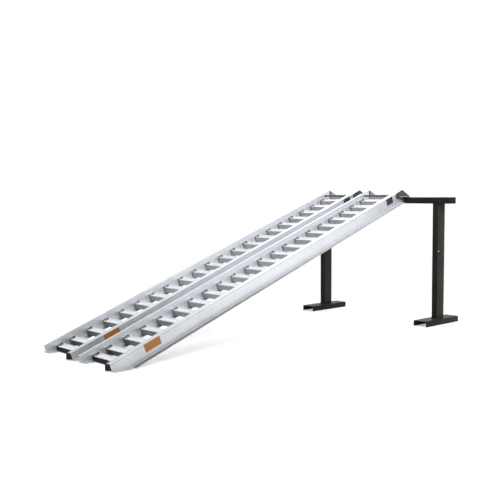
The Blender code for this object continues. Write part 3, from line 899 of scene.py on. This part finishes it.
def loop_at(node, z, grow=0.0005):
    low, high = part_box(node)
    x0, x1, y0, y1 = low.x - grow, high.x + grow, low.y - grow, high.y + grow
    r = 0.005
    ring = rounded([(x0, y0), (x1, y0), (x1, y1), (x0, y1)], [r] * 4, 4)
    return [Vector((a, b, z)) for a, b in ring + ring[:1]]


stand_paths = []
for tag in ("near", "far"):
    low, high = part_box("stand_post_" + tag)
    stand_paths.append(loop_at("stand_post_" + tag, low.z + 0.0005))
    stand_paths.append(loop_at("stand_post_" + tag, high.z - 0.0005, 0.0))
weld("stand_welds", stand_paths, "stand", size=0.0028, step=0.0045, finish=BLACK)


def hex_bolt(name, centre, outward_y, radius, height, washer, finish):
    """Washer, hexagon head and domed crown as one turned piece, facing along Y."""
    rings = []
    for r, h, sides in ((washer, -0.001, 24), (washer, 0.0012, 24), (washer - 0.0004, 0.0015, 24)):
        rings.append([(r * math.cos(2 * math.pi * k / sides), r * math.sin(2 * math.pi * k / sides), h)
                      for k in range(sides)])
    for scale, h in ((1.0, 0.0016), (1.0, height - 0.0008), (0.93, height)):
        ring = []
        for k in range(24):
            ang = 2 * math.pi * k / 24
            near_flat = (ang + math.pi / 6) % (math.pi / 3) - math.pi / 6
            r = radius * scale * math.cos(math.pi / 6) / math.cos(near_flat)
            ring.append((r * math.cos(ang), r * math.sin(ang), h))
        rings.append(ring)
    bm = skin([[Vector((centre[0] + a, centre[1] + outward_y * h, centre[2] + b)) for a, b, h in ring]
               for ring in rings])
    obj = as_object(name, bm, finish)
    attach(obj, "stand")
    return obj


near_low, far_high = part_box("stand_post_near")[0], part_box("stand_post_far")[1]
BOLT_X = near_low.x + 0.0125
BOLT_LOW_Z, BOLT_HIGH_Z = 0.585, 0.667
seam_y = near_low.y - 0.010
x0, x1, z0, z1 = beam_low.x, beam_high.x, beam_low.z, beam_high.z
seam = rounded([(x0, z0), (x1, z0), (x1, z1), (x0, z1)], [0.005] * 4, 4)
loop = [Vector((a, seam_y, b)) for a, b in seam + seam[:1]]
weld("beam_seam", [loop], "stand", size=0.0010, step=0.0020, finish=RUST)
for tag, y, way in (("near", near_low.y, -1), ("far", far_high.y, 1)):
    hex_bolt(f"{tag}_post_bolt_low", (BOLT_X, y, BOLT_LOW_Z), way, 0.0052, 0.004, 0.0064, ZINC)
    hex_bolt(f"{tag}_post_bolt_high", (BOLT_X, y, BOLT_HIGH_Z), way, 0.0040, 0.003, 0.0048, RUST)

# %% [markdown]
# ## Films on the webs
# A plain orange reflective film near the toe and a plain dark one near the top sit
# on the outer webs. They are thin plates with rounded corners and carry nothing.

# %% Plain films


def film(name, web_y, outward, t0, t1, n0, n1, material, body):
    ring = rounded([(t0, n0), (t1, n0), (t1, n1), (t0, n1)], [0.003] * 4, 4)
    rings = [[on_slope(t, web_y + outward * d, n) for t, n in ring] for d in (0.0001, 0.0007)]
    obj = as_object(name, skin(rings), material)
    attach(obj, body)
    return obj


for prefix, web in WEB_Y.items():
    film(f"{prefix}_orange_film", web, -1, 0.256, 0.382, -0.0605, -0.0065, ORANGE, prefix + "_ramp")
    film(f"{prefix}_dark_film", web, -1, 2.780, 2.862, -0.0605, -0.0065, NAVY, prefix + "_ramp")

# %% [markdown]
# ## Floor, light and camera
# The floor is pale and only catches the soft shadow. A large soft lamp stands high
# on the camera's side, a weaker one fills from the left, and the world adds an
# even sky. Camera and mirror rays see the floor and the sky as white.

# %% Floor
floor_mesh = bpy.data.meshes.new("floor")
floor_mesh.from_pydata([(-60, -60, 0), (60, -60, 0), (60, 60, 0), (-60, 60, 0)], [], [(0, 1, 2, 3)])
floor = as_object("floor", floor_mesh)


def seen_rays(tree):
    """1 for camera, mirror and see-through rays, 0 for the rest."""
    rays = place(tree, "ShaderNodeLightPath")
    total = None
    for name in ("Is Camera Ray", "Is Glossy Ray", "Is Transmission Ray"):
        add = place(tree, "ShaderNodeMath", operation="ADD")
        add.use_clamp = True
        tree.links.new(rays.outputs[name], add.inputs[0])
        if total:
            wire(tree, total, add, 0, 1)
        else:
            add.inputs[1].default_value = 0.0
        total = add
    return total


def make_floor_finish():
    material = bpy.data.materials.new("pale floor")
    material.use_nodes = True
    tree = material.node_tree
    tree.nodes.remove(tree.nodes["Principled BSDF"])
    matt = place(tree, "ShaderNodeBsdfDiffuse")
    matt.inputs["Color"].default_value = (0.78, 0.78, 0.78, 1)
    glow = place(tree, "ShaderNodeEmission")
    level = place(tree, "ShaderNodeMath", operation="MULTIPLY")
    level.inputs[1].default_value = FLOOR_LIFT
    wire(tree, seen_rays(tree), level)
    wire(tree, level, glow, 0, "Strength")
    both = place(tree, "ShaderNodeAddShader")
    wire(tree, matt, both)
    wire(tree, glow, both, 0, 1)
    coord = place(tree, "ShaderNodeTexCoord")
    distance = place(tree, "ShaderNodeVectorMath", operation="LENGTH")
    wire(tree, coord, distance, "Object")
    far = curve_range(tree, distance, FLOOR_NEAR, FLOOR_FAR, out="Value")
    plain = place(tree, "ShaderNodeEmission")
    blend = place(tree, "ShaderNodeMixShader")
    wire(tree, far, blend)
    wire(tree, both, blend, 0, 1)
    wire(tree, plain, blend, 0, 2)
    wire(tree, blend, tree.nodes["Material Output"])
    return material


FLOOR_NEAR, FLOOR_FAR = 1.8, 3.4
FLOOR_LIFT = 0.42
floor.data.materials.append(make_floor_finish())

# %% World and lamps
world = bpy.data.worlds.new("studio")
bpy.context.scene.world = world
world.use_nodes = True
sky = world.node_tree.nodes["Background"]
SKY_LEVEL = 0.42
sky_level = place(world.node_tree, "ShaderNodeMapRange")
sky_level.inputs[3].default_value = SKY_LEVEL
sky_level.inputs[4].default_value = 1.0
wire(world.node_tree, seen_rays(world.node_tree), sky_level)
wire(world.node_tree, sky_level, sky, 0, "Strength")
sky.inputs["Color"].default_value = (1, 1, 1, 1)


def lamp(name, location, target, size, power, colour=(1, 1, 1)):
    light = bpy.data.lights.new(name, "AREA")
    light.shape, light.size, light.energy, light.color = "SQUARE", size, power, colour
    obj = bpy.data.objects.new(name, light)
    obj.location = location
    obj.rotation_euler = (Vector(target) - Vector(location)).to_track_quat("-Z", "Y").to_euler()
    bpy.context.scene.collection.objects.link(obj)
    return obj


lamp("key", (-2.0, -5.0, 6.0), (0, 0, 0.4), 4.0, 420)
lamp("fill", (-6.0, 2.0, 4.0), (0, 0, 0.3), 4.0, 130)
lamp("back", (5.0, 3.5, 4.5), (0, 0, 0.5), 3.5, 150)

# %% [markdown]
# The camera stands low on the near side of the toes and looks up the ramps. Its
# place and turn are written as an eye point, a heading, a small dip and a roll.

# %% Camera
EYE = Vector((-4.0797, -4.2066, 1.0459))
HEADING, DIP, ROLL = 0.7472, 0.0705, 0.004
LENS_MM = 57.33

ahead = Vector((math.sin(HEADING) * math.cos(DIP), math.cos(HEADING) * math.cos(DIP), -math.sin(DIP)))
level_right = Vector((math.cos(HEADING), -math.sin(HEADING), 0))
level_up = level_right.cross(ahead)
right = level_right * math.cos(ROLL) - level_up * math.sin(ROLL)
up = level_right * math.sin(ROLL) + level_up * math.cos(ROLL)
camera_data = bpy.data.cameras.new("camera")
camera_data.lens, camera_data.sensor_width = LENS_MM, 36.0
camera_data.clip_end = 200
camera = bpy.data.objects.new("camera", camera_data)
camera.matrix_world = Matrix.Translation(EYE) @ Matrix((right, up, -ahead)).transposed().to_4x4()
bpy.context.scene.collection.objects.link(camera)
bpy.context.scene.camera = camera
bpy.context.scene.view_settings.view_transform = "Standard"
